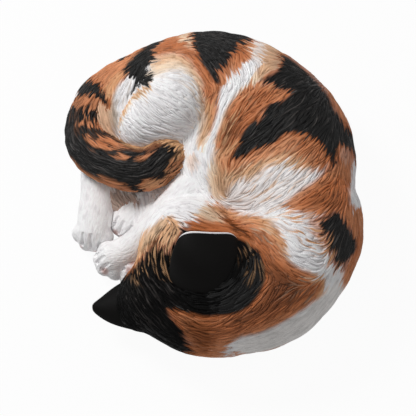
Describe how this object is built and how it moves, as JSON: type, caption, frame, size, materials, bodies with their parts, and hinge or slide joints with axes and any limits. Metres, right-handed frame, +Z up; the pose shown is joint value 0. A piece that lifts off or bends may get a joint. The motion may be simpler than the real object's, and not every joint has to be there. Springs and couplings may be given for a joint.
{
  "type": "curled sleeping cat garden statue",
  "caption": "Cast resin garden statue of a calico cat curled up asleep, hollow, with a closing plate and felt pads underneath.",
  "frame": {"origin": "middle of the statue's bounding box, on the surface it rests on", "axes": "+X towards the cat's back, +Y towards its rump, +Z up; the head lies at -Y"},
  "size_m": [0.2514, 0.2804, 0.1143],
  "materials": {
    "painted_body": "matte",
    "white_coat": "matte",
    "banded_tail": "matte",
    "painted_head": "matte",
    "smooth_black": "satin",
    "bare_resin": "matte",
    "pad_felt": "matte"
  },
  "bodies": {
    "root": {"body_shell": "painted_body", "right_thigh": "white_coat", "tail": "banded_tail", "right_hind_foot": "white_coat", "left_hind_foot": "white_coat", "head": "painted_head", "right_foreleg": "white_coat", "left_forepaw": "white_coat", "right_ear": "smooth_black", "left_ear": "smooth_black", "base_plate": "bare_resin", "pad_1": "pad_felt", "pad_2": "pad_felt", "pad_3": "pad_felt", "pad_4": "pad_felt"}
  },
  "joints": []
}
